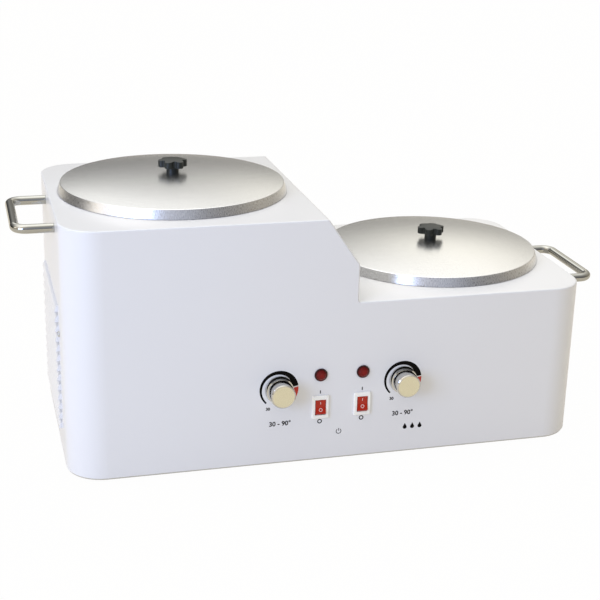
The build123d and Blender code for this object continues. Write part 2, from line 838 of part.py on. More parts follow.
def make_lamp(side):
    """Lamp body through the panel with a faceted lens"""
    at = front_place(pair(lamp_spacing)[side], lamp_height)
    body = rod(lamp_flange_radius, 0, lamp_flange_height) + rod(lamp_body_radius, -lamp_body_length, 0)
    body = fillet(body.faces().sort_by(Axis.Z)[-1].edges(), lamp_flange_edge)
    body -= rod(lamp_bore_radius, lamp_end_wall - lamp_body_length, lamp_flange_height + 1)
    plug_radius = lamp_lens_radius - lamp_plug_step
    body -= rod(plug_radius + thread_fit, -lamp_seat_depth, lamp_flange_height + 1)
    save(f"{side}_lamp_body", at * body)

    plug = rod(plug_radius, -lamp_seat_depth, lamp_flange_height)
    low_height = (lamp_lens_proud - lamp_flange_height) * lamp_lens_low_share
    facet = RegularPolygon(lamp_lens_radius, lamp_lens_facets)
    small = RegularPolygon(lamp_lens_radius * lamp_lens_top_share, lamp_lens_facets)
    low = Pos(0, 0, lamp_flange_height) * extrude(facet, low_height)
    mid = loft([Pos(0, 0, lamp_flange_height + low_height) * facet, Pos(0, 0, lamp_lens_proud) * small])
    save(f"{side}_lamp_lens", at * (plug + low + mid))
    nut = hex_nut(lamp_nut_flats, lamp_body_radius + thread_fit, lamp_nut_height)
    return at * Pos(0, 0, -wall_sheet - lamp_nut_height) * nut


def band_frame(side):
    """Middle of a pot's band heater, its local X towards the clamp at the inner rear"""
    x, deck_z, depth, band = pots[side]
    turn = band_clamp_turn if side == "left" else 180 - band_clamp_turn
    return Pos(x, pot_y, deck_z - depth + band_above_bottom) * Rot(0, 0, turn), band


def make_heater(side):
    """Split band with two lugs drawn together by a screw"""
    frame, height = band_frame(side)
    inner = pot_radius + band_fit
    outer = inner + band_sheet
    middle = height / 2
    band = ring(outer, inner, 0, height)
    band -= Pos(outer - band_sheet, 0, 0) * slab(6 * band_sheet, band_gap, -1, height + 1)
    lug_y = band_gap / 2 + band_lug_sheet / 2
    for sign in (-1, 1):
        lug = Pos(outer - band_sheet / 2 + band_lug_reach / 2, sign * lug_y, middle)
        band += lug * Box(band_lug_reach + band_sheet / 2, band_lug_sheet, band_lug_height)
    reach = band_lead_proud + band_sheet
    block_at = Pos(outer + band_lead_proud - reach / 2, 0, middle)
    block = block_at * Box(reach, band_lead_block, band_lead_block)
    block -= rod(outer - band_sheet / 2, -1, height + 1)
    band += Rot(0, 0, side_sign[side] * band_lead_turn) * block
    screw_at = Pos(outer + band_lug_screw_reach, 0, middle)
    band -= screw_at * (Rot(90, 0, 0) * rod(m5_radius + clear_fit, -band_gap * 2, band_gap * 2))
    save(f"{side}_heater_band", frame * band)
    lug_face = band_gap / 2 + band_lug_sheet
    grip = 2 * lug_face + m5_nut_height + screw_spare
    screw = pan_screw(m5_radius, grip, m5_head_radius, m5_head_height)
    screw = Rot(90, 0, 0) * Pos(0, 0, lug_face) * screw
    nut = hex_nut(m5_flats, m5_radius + thread_fit, m5_nut_height)
    nut = Rot(90, 0, 0) * Pos(0, 0, -lug_face - m5_nut_height) * nut
    return frame * screw_at * screw, frame * screw_at * nut


def make_inlet():
    """Three-pin mains inlet in the rear wall"""
    at = rear_place(panel_x, inlet_height)
    flange = RectangleRounded(inlet_flange_width, inlet_flange_height, inlet_flange_corner)
    body = extrude(flange, inlet_flange_sheet)
    body += slab(inlet_body_width, inlet_body_height, -inlet_body_depth, 0)
    floor = inlet_flange_sheet - inlet_cavity_depth
    mouth = Rectangle(inlet_cavity_width, inlet_cavity_height)
    mouth = chamfer(mouth.vertices().group_by(Axis.Y)[-1], inlet_cavity_chamfer)
    body -= Pos(0, 0, floor) * extrude(mouth, inlet_cavity_depth + 1)
    pins = []
    tip = inlet_flange_sheet - inlet_pin_set_back
    for i in (-1, 0, 1):
        y = inlet_pin_rise if i == 0 else -inlet_pin_rise
        place = Pos(i * inlet_pin_spacing, y, 0)
        tail = -inlet_body_depth - inlet_pin_tail
        body -= place * slab(inlet_pin_width + tiny, inlet_pin_height + tiny, tail, floor + 1)
        pins.append(at * place * slab(inlet_pin_width, inlet_pin_height, tail, tip))
    screws = []
    nuts = []
    for x in (-inlet_screw_spacing / 2, inlet_screw_spacing / 2):
        body -= Pos(x, 0, 0) * rod(m3_radius + clear_fit, -1, inlet_flange_sheet + 1)
        grip = inlet_flange_sheet + wall_sheet + m3_nut_height + screw_spare
        screw = pan_screw(m3_radius, grip, m3_head_radius, m3_head_height)
        screws.append(at * Pos(x, 0, inlet_flange_sheet) * screw)
        nut = hex_nut(m3_flats, m3_radius + thread_fit, m3_nut_height)
        nuts.append(at * Pos(x, 0, -wall_sheet - m3_nut_height) * nut)
    save("power_inlet", at * body)
    save("inlet_pins", *pins)
    save("inlet_screws", *screws)
    save("inlet_nuts", *nuts)


def make_terminal_block():
    """Insulated block for the joined wires, screwed to the base plate"""
    at = Pos(panel_x, block_y, casing_z)
    block = fillet(Box(block_length, block_width, block_height).edges().group_by(Axis.Z)[-1], block_edge)
    block = Pos(0, 0, block_height / 2) * block
    for i in range(block_bores):
        x = (i - (block_bores - 1) / 2) * block_bore_pitch
        bore = Rot(90, 0, 0) * extrude(Circle(block_bore_radius), block_width, both=True)
        block -= Pos(x, 0, block_height / 2) * bore
    screws = []
    for sign in (-1, 1):
        x = sign * (block_length / 2 - block_screw_inset)
        block -= Pos(x, 0, 0) * rod(m3_radius + clear_fit, -1, block_height + 1)
        grip = block_height + base_sheet + screw_spare
        screw = pan_screw(m3_radius, grip, m3_head_radius, m3_head_height)
        screws.append(at * Pos(x, 0, block_height) * screw)
    save("terminal_block", at * block)
    save("terminal_block_screws", *screws)


def make_side_screws():
    """Two small screws in the left wall, each holding a cable clip inside"""
    screws = []
    clips = []
    for y, height in side_screw_places:
        at = side_place(-1, y, height)
        head = (side_screw_head_radius, side_screw_head_height)
        screws.append(at * pan_screw(side_screw_radius, side_screw_length, *head))
        outer = clip_bore + clip_strap
        loop_at = Pos(0, -clip_width / 2 - clip_bore, -wall_sheet - outer)
        foot = slab(clip_width, clip_width * 1.5, -wall_sheet - clip_strap, -wall_sheet)
        clip = Pos(0, -clip_width / 4) * foot
        clip += loop_at * cross_rod(outer, clip_width)
        clip -= loop_at * cross_rod(clip_bore, 2 * clip_width)
        clip -= rod(side_screw_radius + thread_fit, -side_screw_length, 0)
        clips.append(at * clip)
    save("side_screws", *screws)
    save("cable_clips", *clips)


def bend_radii(points, widest):
    """Bends as large as their two runs allow"""
    radii = []
    for a, b, c in zip(points, points[1:], points[2:]):
        run_in = Vector(*b) - Vector(*a)
        run_out = Vector(*c) - Vector(*b)
        half_turn = radians(run_in.get_angle(run_out)) / 2
        radii.append(min(0.45 * min(run_in.length, run_out.length) / tan(half_turn), widest))
    return radii


def wire_along(points):
    """Insulated wire on straight runs joined by tangent arcs"""
    path = FilletPolyline(*points, radius=bend_radii(points, wire_bend))
    wire = sweep(Plane(origin=path @ 0, z_dir=path % 0) * Circle(wire_radius), path=path)
    share = wire.volume / (path.length * pi * wire_radius**2)
    print("wire", round(path.length, 1), "mm, volume share", round(share, 4))
    return wire


def lead_spots(side, rise):
    """Last two points of a wire that meets the heater's lead block square"""
    x, deck_z, depth, band = pots[side]
    frame_turn = band_clamp_turn - band_lead_turn
    angle = radians(frame_turn if side == "left" else 180 - frame_turn)
    face = pot_radius + band_fit + band_sheet + band_lead_proud
    z = deck_z - depth + band_above_bottom + band / 2 + rise
    return [(x + r * cos(angle), pot_y + r * sin(angle), z) for r in (face + wire_stub, face)]


def make_wiring():
    """Wires from the inlet and the devices on the panel to the terminal block and the heaters"""
    block_z = casing_z + block_height / 2
    bores = {i: panel_x + i * block_bore_pitch for i in range(-(block_bores // 2), block_bores // 2 + 1)}
    front = block_y - block_width / 2
    rear = block_y + block_width / 2
    wires = []
    for i in (-1, 0, 1):
        pin_z = casing_z + inlet_height + (inlet_pin_rise if i == 0 else -inlet_pin_rise)
        pin_x = panel_x + i * inlet_pin_spacing
        tail = rear_y - inlet_body_depth - inlet_pin_tail
        wires.append([
            (pin_x, tail, pin_z),
            (pin_x, tail - wire_stub, pin_z),
            (bores[i], rear + wire_stub, block_z),
            (bores[i], rear - wire_entry, block_z),
        ])
    switch_tail = front_y + switch_body_depth + tab_length
    dial_tail = front_y - tail_z + tab_length
    lamp_tail = front_y + lamp_body_length
    switch_z = casing_z + switch_height
    dial_z = casing_z + dial_height
    lamp_z = casing_z + lamp_height
    for side, sign in side_sign.items():
        switch_x = pair(switch_spacing)[side]
        dial_x = pair(dial_spacing)[side]
        lamp_x = pair(lamp_spacing)[side]
        feed_x = switch_x - sign * tab_width / 2
        load_x = switch_x + sign * tab_width / 2
        near_x = dial_x - sign * tab_width
        far_x = dial_x + sign * tab_width
        before, face = lead_spots(side, lead_rise)
        rise = face[2] - dial_z
        before_low, face_low = lead_spots(side, -lead_rise)
        wires.append([
            (bores[3 * sign], front + wire_entry, block_z),
            (bores[3 * sign], front - 2 * wire_stub, block_z),
            (feed_x, switch_tail + 2.6 * wire_stub, switch_z - feed_wire_drop),
            (feed_x, switch_tail + wire_stub, switch_z),
            (feed_x, switch_tail, switch_z),
        ])
        wires.append([
            (load_x, switch_tail, switch_z),
            (load_x, switch_tail + wire_stub, switch_z),
            ((load_x + near_x) / 2, dial_tail + 1.6 * wire_stub, (switch_z + dial_z) / 2),
            (near_x, dial_tail + 1.4 * wire_stub, dial_z),
            (near_x, dial_tail, dial_z),
        ])
        wires.append([
            (far_x, dial_tail, dial_z),
            (far_x, dial_tail + wire_stub, dial_z),
            (far_x - sign * dial_wire_aside, dial_tail + 2.2 * wire_stub, dial_z + 0.35 * rise),
            (before[0] + sign * heater_wire_aside, before[1] - 1.2 * wire_stub, face[2] - 0.15 * rise),
            before,
            face,
        ])
        low_x = bores[2 * sign]
        wires.append([
            face_low,
            before_low,
            (low_x, before_low[1] + heater_wire_back, before_low[2] - heater_wire_drop),
            (low_x, before_low[1] + block_wire_back, block_z + 1.8 * wire_stub),
            (low_x, front - 1.4 * wire_stub, block_z),
            (low_x, front + wire_entry, block_z),
        ])
        wires.append([
            (lamp_x, lamp_tail, lamp_z),
            (lamp_x, lamp_tail + 1.4 * wire_stub, lamp_z),
            (lamp_x - sign * lamp_wire_aside, lamp_tail + 2.4 * wire_stub, lamp_z - lamp_wire_drop),
            (bores[sign], front - 3.8 * wire_stub, block_z + block_wire_rise),
            (bores[sign], front - 1.7 * wire_stub, block_z),
            (bores[sign], front + wire_entry, block_z),
        ])
    save("wiring", *[wire_along(points) for points in wires])


make_casing()
make_base()
make_handles()
bulb_clips = []
terminals = []
switch_tabs = []
lamp_nuts = []
panel_nuts = []
clamp_screws = []
clamp_nuts = []
for side in side_sign:
    make_pot(side)
    make_lid(side)
    make_dial(side)
    bulb_clips += make_thermostat(side)
    dial_at = front_place(pair(dial_spacing)[side], dial_height)
    terminals += tab_pair(dial_at, 2 * tab_width, tail_z, tab_length)
    panel_nuts.append(dial_at * hex_nut(panel_nut_flats, bush_radius + thread_fit, panel_nut_height))
    switch_tabs += make_switch(side)
    lamp_nuts.append(make_lamp(side))
    screw, nut = make_heater(side)
    clamp_screws.append(screw)
    clamp_nuts.append(nut)
save("bulb_clips", *bulb_clips)
save("thermostat_terminals", *terminals)
save("thermostat_nuts", *panel_nuts)
save("switch_terminals", *switch_tabs)
save("lamp_nuts", *lamp_nuts)
save("heater_clamp_screws", *clamp_screws)
save("heater_clamp_nuts", *clamp_nuts)
make_inlet()
make_terminal_block()
make_side_screws()
make_wiring()
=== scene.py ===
import json
import math

import bmesh
import bpy
from mathutils import Euler, Matrix, Vector


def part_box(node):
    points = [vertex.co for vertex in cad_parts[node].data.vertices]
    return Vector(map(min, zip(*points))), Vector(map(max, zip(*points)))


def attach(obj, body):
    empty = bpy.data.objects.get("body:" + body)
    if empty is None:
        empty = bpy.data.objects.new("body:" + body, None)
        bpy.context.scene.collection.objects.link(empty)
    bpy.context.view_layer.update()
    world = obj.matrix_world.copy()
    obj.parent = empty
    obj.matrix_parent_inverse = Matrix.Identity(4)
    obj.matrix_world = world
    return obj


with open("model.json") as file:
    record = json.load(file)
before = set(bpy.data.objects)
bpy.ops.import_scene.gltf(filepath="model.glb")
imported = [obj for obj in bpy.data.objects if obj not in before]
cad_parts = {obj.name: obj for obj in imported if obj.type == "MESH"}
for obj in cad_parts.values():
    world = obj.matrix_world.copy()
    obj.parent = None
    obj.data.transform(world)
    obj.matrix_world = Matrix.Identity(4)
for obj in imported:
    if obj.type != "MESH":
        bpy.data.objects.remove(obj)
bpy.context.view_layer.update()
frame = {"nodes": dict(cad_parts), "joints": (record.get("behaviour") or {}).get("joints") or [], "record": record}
print("CAD frame loaded:", len(frame["nodes"]), "nodes")

mm = 0.001
sides = ("left", "right")
housing = "housing"
slotOf = {part["node"]: part["material_slot"] for part in frame["record"]["subparts"]}
jointOf = {joint["name"]: joint for joint in frame["joints"]}


def middleOf(node):
    low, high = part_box(node)
    return (low + high) / 2


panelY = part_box("wrap_casing")[0].y
lidMiddle = {side: middleOf(side + "_lid") for side in sides}
dialMiddle = {side: middleOf(side + "_dial_knob") for side in sides}
lampMiddle = {side: middleOf(side + "_lamp_lens") for side in sides}
switchMiddle = {side: middleOf(side + "_switch_housing") for side in sides}


# Camera at the photograph's place, turned in degrees
cameraSet = {
    "place": (-0.30865, -1.10949, 0.52342), "turn": (70.432, -1.317, -14.809),
    "lens": 78.59, "sensor": 36.0,
}


def makeCamera():
    data = bpy.data.cameras.new("camera")
    data.lens = cameraSet["lens"]
    data.sensor_width = cameraSet["sensor"]
    camera = bpy.data.objects.new("camera", data)
    camera.location = cameraSet["place"]
    camera.rotation_euler = Euler([math.radians(angle) for angle in cameraSet["turn"]])
    bpy.context.scene.collection.objects.link(camera)
    bpy.context.scene.camera = camera


makeCamera()
print("camera placed")


# Short ways to add a shader node: values are sockets to link, or plain numbers and colours
def feed(tree, value, socket):
    if isinstance(value, bpy.types.NodeSocket):
        tree.links.new(value, socket)
    elif socket.type == "RGBA":
        socket.default_value = (*value, 1.0)
    else:
        socket.default_value = value


def feedAll(tree, node, values):
    for label, value in values.items():
        feed(tree, value, node.inputs[label])


def addMath(tree, operation, *values):
    node = tree.nodes.new("ShaderNodeMath")
    node.operation = operation
    for value, socket in zip(values, node.inputs):
        feed(tree, value, socket)
    return node.outputs[0]


def addVector(tree, operation, *values):
    node = tree.nodes.new("ShaderNodeVectorMath")
    node.operation = operation
    for value, socket in zip(values, node.inputs):
        feed(tree, value, socket)
    return node


def addPoint(tree, x, y):
    node = tree.nodes.new("ShaderNodeCombineXYZ")
    feedAll(tree, node, {"X": x, "Y": y})
    return node.outputs[0]


def addRange(tree, value, low, high, fromLow=0.0, fromHigh=1.0):
    node = tree.nodes.new("ShaderNodeMapRange")
    feedAll(tree, node, {"Value": value, "From Min": fromLow, "From Max": fromHigh,
                         "To Min": low, "To Max": high})
    return node.outputs["Result"]


def addMix(tree, share, first, second):  # of two colours
    node = tree.nodes.new("ShaderNodeMix")
    node.data_type = "RGBA"
    for value, index in ((share, 0), (first, 6), (second, 7)):
        feed(tree, value, node.inputs[index])
    return node.outputs[2]


def addBlend(tree, share, first, second):  # of two numbers
    node = tree.nodes.new("ShaderNodeMix")
    for value, index in ((share, 0), (first, 2), (second, 3)):
        feed(tree, value, node.inputs[index])
    return node.outputs[0]


def addNoise(tree, vector, scale, detail, roughness):
    node = tree.nodes.new("ShaderNodeTexNoise")
    feedAll(tree, node, {"Vector": vector, "Scale": scale, "Detail": detail,
                         "Roughness": roughness})
    return node.outputs["Fac"]


def objectPoint(tree):
    return tree.nodes.new("ShaderNodeTexCoord").outputs["Object"]


# Node groups shared by the finishes
def newGroup(name, inputs, outputs):
    group = bpy.data.node_groups.new(name, "ShaderNodeTree")
    for label, kind, value in inputs:
        socket = group.interface.new_socket(label, in_out="INPUT", socket_type=kind)
        socket.default_value = value
    for label, kind in outputs:
        group.interface.new_socket(label, in_out="OUTPUT", socket_type=kind)
    return group, group.nodes.new("NodeGroupInput"), group.nodes.new("NodeGroupOutput")


cloudSet = {"detail": 2.0, "roughness": 0.5, "low": 0.1, "high": 0.9}


def makeCloudGroup():  # slow change of tone over a surface
    inputs = [("Colour", "NodeSocketColor", (0.8, 0.8, 0.8, 1.0)),
              ("Shade", "NodeSocketColor", (0.7, 0.7, 0.7, 1.0)),
              ("Scale", "NodeSocketFloat", 8.0), ("Amount", "NodeSocketFloat", 0.5)]
    outputs = [("Colour", "NodeSocketColor"), ("Value", "NodeSocketFloat")]
    group, start, end = newGroup("cloudTone", inputs, outputs)
    cloud = addNoise(group, objectPoint(group), start.outputs["Scale"], cloudSet["detail"],
                     cloudSet["roughness"])
    spread = addRange(group, cloud, 0.0, 1.0, cloudSet["low"], cloudSet["high"])
    share = addMath(group, "MULTIPLY", spread, start.outputs["Amount"])
    tone = addMix(group, share, start.outputs["Colour"], start.outputs["Shade"])
    feedAll(group, end, {"Colour": tone, "Value": spread})
    return group


peelSet = {"detail": 1.0, "roughness": 0.4, "coarseScale": 0.27, "coarseWeight": 1.5}


def makePeelGroup():  # gentle ripple of stoved paint or moulded plastic
    inputs = [("Scale", "NodeSocketFloat", 800.0)]
    group, start, end = newGroup("orangePeel", inputs, [("Height", "NodeSocketFloat")])
    scale = start.outputs["Scale"]
    coarseScale = addMath(group, "MULTIPLY", scale, peelSet["coarseScale"])
    fine, coarse = (addNoise(group, objectPoint(group), size, peelSet["detail"],
                             peelSet["roughness"]) for size in (scale, coarseScale))
    swell = addMath(group, "MULTIPLY", coarse, peelSet["coarseWeight"])
    feedAll(group, end, {"Height": addMath(group, "ADD", fine, swell)})
    return group


grainSet = {"detail": 2.0, "roughness": 0.6, "low": 0.3, "high": 0.7}


def addGrain(tree, vector, scale):
    grain = addNoise(tree, vector, scale, grainSet["detail"], grainSet["roughness"])
    return addRange(tree, grain, 0.0, 1.0, grainSet["low"], grainSet["high"])


def makeGrainGroup():  # fine grain, drawn out along an axis where Stretch is small
    inputs = [("Scale", "NodeSocketFloat", 2000.0),
              ("Stretch", "NodeSocketVector", (1.0, 1.0, 1.0))]
    group, start, end = newGroup("metalGrain", inputs, [("Value", "NodeSocketFloat")])
    stretched = addVector(group, "MULTIPLY", objectPoint(group), start.outputs["Stretch"])
    grain = addGrain(group, stretched.outputs[0], start.outputs["Scale"])
    feedAll(group, end, {"Value": grain})
    return group


turnedSet = {"ringTwist": 0.004, "strokeTurn": 0.1, "strokeFall": 0.3}


def makeTurnedGroup():  # rings round an upright axis, and strokes running down a band
    inputs = [("Middle", "NodeSocketVector", (0.0, 0.0, 0.0)),
              ("Ring scale", "NodeSocketFloat", 2200.0),
              ("Stroke scale", "NodeSocketFloat", 1500.0)]
    outputs = [(label, "NodeSocketFloat") for label in ("Rings", "Strokes", "Radius")]
    group, start, end = newGroup("turnedMetal", inputs, outputs)
    moved = addVector(group, "SUBTRACT", objectPoint(group), start.outputs["Middle"])
    parts = group.nodes.new("ShaderNodeSeparateXYZ")
    group.links.new(moved.outputs[0], parts.inputs[0])
    x, y, z = parts.outputs
    squares = [addMath(group, "MULTIPLY", part, part) for part in (x, y)]
    radius = addMath(group, "SQRT", addMath(group, "ADD", *squares))
    angle = addMath(group, "ARCTAN2", y, x)
    ringPoint = addPoint(group, radius,
                         addMath(group, "MULTIPLY", angle, turnedSet["ringTwist"]))
    strokePoint = addPoint(group, addMath(group, "MULTIPLY", angle, turnedSet["strokeTurn"]),
                           addMath(group, "MULTIPLY", z, turnedSet["strokeFall"]))
    rings = addGrain(group, ringPoint, start.outputs["Ring scale"])
    strokes = addGrain(group, strokePoint, start.outputs["Stroke scale"])
    feedAll(group, end, {"Rings": rings, "Strokes": strokes, "Radius": radius})
    return group


cloudGroup = makeCloudGroup()
peelGroup = makePeelGroup()
grainGroup = makeGrainGroup()
turnedGroup = makeTurnedGroup()


def newMaterial(name, constants):
    material = bpy.data.materials.new(name)
    material.use_nodes = True
    tree = material.node_tree
    shader = tree.nodes["Principled BSDF"]
    feedAll(tree, shader, constants)
    return material, tree, shader


def placeGroup(tree, group, values):
    node = tree.nodes.new("ShaderNodeGroup")
    node.node_tree = group
    feedAll(tree, node, values)
    return node


def addBump(tree, shader, height, distance):
    bump = tree.nodes.new("ShaderNodeBump")
    feedAll(tree, bump, {"Distance": distance, "Strength": 1.0, "Height": height})
    feedAll(tree, shader, {"Normal": bump.outputs["Normal"]})


def addTone(tree, shader, look):  # cloudy base colour
    tone = placeGroup(tree, cloudGroup, {"Colour": look["colour"], "Shade": look["shade"],
                                         "Scale": look["cloudScale"],
                                         "Amount": look["cloudAmount"]})
    feedAll(tree, shader, {"Base Color": tone.outputs["Colour"]})
    return tone.outputs["Value"]


def tintedFinish(name, look):  # paint or plastic: cloudy tone, rippled surface, uneven gloss
    material, tree, shader = newMaterial(name, look["shader"])
    tone = addTone(tree, shader, look)
    feedAll(tree, shader, {"Roughness": addRange(tree, tone, *look["roughness"])})
    peel = placeGroup(tree, peelGroup, {"Scale": look["rippleScale"]})
    addBump(tree, shader, peel.outputs["Height"], look["rippleHeight"])
    return material


def addMetalGrain(tree, shader, look):  # uneven gloss and a very fine relief
    grain = placeGroup(tree, grainGroup, {"Scale": look["grainScale"],
                                          "Stretch": look["stretch"]}).outputs["Value"]
    feedAll(tree, shader, {"Roughness": addRange(tree, grain, *look["roughness"])})
    addBump(tree, shader, grain, look["grainHeight"])
    return grain


def grainedMetal(name, look):  # cloudy metal
    material, tree, shader = newMaterial(name, {"Metallic": 1.0})
    addTone(tree, shader, look)
    addMetalGrain(tree, shader, look)
    return material


def turnedMetal(name, look):  # metal whose tone follows its grain
    material, tree, shader = newMaterial(name, {"Metallic": 1.0})
    grain = addMetalGrain(tree, shader, look)
    feedAll(tree, shader, {"Base Color": addMix(tree, grain, look["shade"], look["colour"])})
    return material


# Painted and moulded finishes
enamelLook = {
    "colour": (0.81, 0.815, 0.83), "shade": (0.775, 0.775, 0.78),
    "cloudScale": 5.0, "cloudAmount": 0.5, "roughness": (0.26, 0.34),
    "rippleScale": 750.0, "rippleHeight": 0.012 * mm,
    "shader": {"Coat Weight": 0.25, "Coat Roughness": 0.18},
}
phenolicLook = {
    "colour": (0.018, 0.021, 0.019), "shade": (0.032, 0.036, 0.032),
    "cloudScale": 90.0, "cloudAmount": 0.7, "roughness": (0.32, 0.46),
    "rippleScale": 1400.0, "rippleHeight": 0.02 * mm,
    "shader": {"Specular IOR Level": 0.3, "Coat Weight": 0.05, "Coat Roughness": 0.2},
}
nylonWhiteLook = {
    "colour": (0.985, 0.96, 0.90), "shade": (0.96, 0.935, 0.87),
    "cloudScale": 120.0, "cloudAmount": 0.5, "roughness": (0.30, 0.40),
    "rippleScale": 2500.0, "rippleHeight": 0.01 * mm,
    "shader": {"Subsurface Weight": 0.05},
}
nylonBlackLook = {
    "colour": (0.022, 0.022, 0.024), "shade": (0.034, 0.033, 0.033),
    "cloudScale": 90.0, "cloudAmount": 0.6, "roughness": (0.38, 0.52),
    "rippleScale": 2500.0, "rippleHeight": 0.014 * mm, "shader": {},
}
rubberLook = {
    "colour": (0.022, 0.022, 0.022), "shade": (0.045, 0.043, 0.04),
    "cloudScale": 160.0, "cloudAmount": 0.8, "roughness": (0.62, 0.82),
    "rippleScale": 3000.0, "rippleHeight": 0.03 * mm, "shader": {},
}
bakeliteLook = {
    "colour": (0.10, 0.055, 0.032), "shade": (0.15, 0.085, 0.05),
    "cloudScale": 140.0, "cloudAmount": 0.8, "roughness": (0.26, 0.40),
    "rippleScale": 1600.0, "rippleHeight": 0.016 * mm,
    "shader": {"Coat Weight": 0.3, "Coat Roughness": 0.15},
}
sleeveLook = {
    "colour": (0.74, 0.70, 0.58), "shade": (0.62, 0.58, 0.47),
    "cloudScale": 300.0, "cloudAmount": 0.8, "roughness": (0.6, 0.8),
    "rippleScale": 2600.0, "rippleHeight": 0.05 * mm, "shader": {},
}
rockerLook = {
    "colour": (0.46, 0.022, 0.005), "shade": (0.34, 0.010, 0.003),
    "cloudScale": 160.0, "cloudAmount": 0.6, "roughness": (0.20, 0.30),
    "rippleScale": 1800.0, "rippleHeight": 0.008 * mm,
    "shader": {"Specular IOR Level": 0.3, "Coat Weight": 0.1, "Coat Roughness": 0.1},
}
smokedRedLook = {
    "colour": (0.030, 0.003, 0.003), "shade": (0.045, 0.004, 0.004),
    "cloudScale": 200.0, "cloudAmount": 0.6, "roughness": (0.25, 0.38),
    "rippleScale": 2500.0, "rippleHeight": 0.008 * mm,
    "shader": {"Specular IOR Level": 0.3},
}
inkBlackLook = {
    "colour": (0.003, 0.0025, 0.0025), "shade": (0.007, 0.006, 0.005),
    "cloudScale": 500.0, "cloudAmount": 0.7, "roughness": (0.40, 0.55),
    "rippleScale": 4000.0, "rippleHeight": 0.006 * mm,
    "shader": {"Specular IOR Level": 0.05},
}
inkRedLook = {
    "colour": (0.62, 0.045, 0.025), "shade": (0.50, 0.03, 0.02),
    "cloudScale": 500.0, "cloudAmount": 0.6, "roughness": (0.40, 0.55),
    "rippleScale": 4000.0, "rippleHeight": 0.006 * mm,
    "shader": {"Specular IOR Level": 0.3},
}
paintPaleLook = {
    "colour": (0.86, 0.62, 0.58), "shade": (0.80, 0.52, 0.48),
    "cloudScale": 600.0, "cloudAmount": 0.7, "roughness": (0.40, 0.55),
    "rippleScale": 4000.0, "rippleHeight": 0.008 * mm, "shader": {},
}

# Metals
# Chrome rods: base colour darker and warmer than bare chrome, a painted dark reflection of the room
chromeRodLook = {
    "colour": (0.46, 0.455, 0.42), "shade": (0.37, 0.365, 0.33),
    "cloudScale": 60.0, "cloudAmount": 0.4, "roughness": (0.03, 0.08),
    "grainScale": 1500.0, "stretch": (1.0, 0.15, 1.0), "grainHeight": 0.001 * mm,
}
zincLook = {
    "colour": (0.60, 0.605, 0.60), "shade": (0.47, 0.475, 0.47),
    "cloudScale": 55.0, "cloudAmount": 0.8, "roughness": (0.30, 0.48),
    "grainScale": 900.0, "stretch": (1.0, 0.12, 1.0), "grainHeight": 0.008 * mm,
}
fastenerLook = {
    "colour": (0.66, 0.66, 0.64), "shade": (0.52, 0.51, 0.47),
    "cloudScale": 220.0, "cloudAmount": 0.7, "roughness": (0.24, 0.40),
    "grainScale": 2600.0, "stretch": (1.0, 1.0, 0.3), "grainHeight": 0.004 * mm,
}
potLook = {
    "colour": (0.72, 0.72, 0.705), "shade": (0.60, 0.60, 0.585),
    "cloudScale": 30.0, "cloudAmount": 0.7, "roughness": (0.28, 0.44),
    "grainScale": 700.0, "stretch": (1.0, 1.0, 0.08), "grainHeight": 0.008 * mm,
}
heaterLook = {
    "colour": (0.42, 0.41, 0.40), "shade": (0.26, 0.23, 0.21),
    "cloudScale": 40.0, "cloudAmount": 0.9, "roughness": (0.34, 0.55),
    "grainScale": 1100.0, "stretch": (1.0, 1.0, 0.2), "grainHeight": 0.012 * mm,
}
brassLook = {
    "colour": (0.72, 0.55, 0.26), "shade": (0.56, 0.40, 0.17),
    "cloudScale": 260.0, "cloudAmount": 0.8, "roughness": (0.22, 0.38),
    "grainScale": 2400.0, "stretch": (1.0, 0.2, 1.0), "grainHeight": 0.004 * mm,
}
copperLook = {
    "colour": (0.78, 0.43, 0.27), "shade": (0.55, 0.28, 0.17),
    "cloudScale": 160.0, "cloudAmount": 0.8, "roughness": (0.24, 0.42),
    "grainScale": 2400.0, "stretch": (1.0, 1.0, 0.4), "grainHeight": 0.004 * mm,
}

# Chromed dial knob with turned lines round its side, and the satin disc on its face
dialLook = {
    "colour": (0.66, 0.645, 0.60), "shade": (0.52, 0.51, 0.47), "roughness": (0.05, 0.14),
    "grainScale": 2600.0, "stretch": (0.05, 1.0, 0.05), "grainHeight": 0.0015 * mm,
}
dialFaceLook = {
    "colour": (0.88, 0.84, 0.66), "shade": (0.66, 0.62, 0.44), "roughness": (0.30, 0.48),
    "grainScale": 3200.0, "stretch": (1.0, 1.0, 1.0), "grainHeight": 0.004 * mm,
}


# Spun lid: speckle and faint rings on the dome, strokes on the band outside its shoulder
lidLook = {
    "colour": (0.90, 0.90, 0.90), "shade": (0.74, 0.74, 0.74), "shoulder": 98.6 * mm,
    "ringScale": 1500.0, "strokeScale": 1500.0, "grainScale": 1000.0, "ringShare": 0.2,
    "domeRoughness": (0.24, 0.275), "domeHeight": 0.0012 * mm,
    "bandRoughness": (0.24, 0.38), "bandHeight": 0.0025 * mm,
}


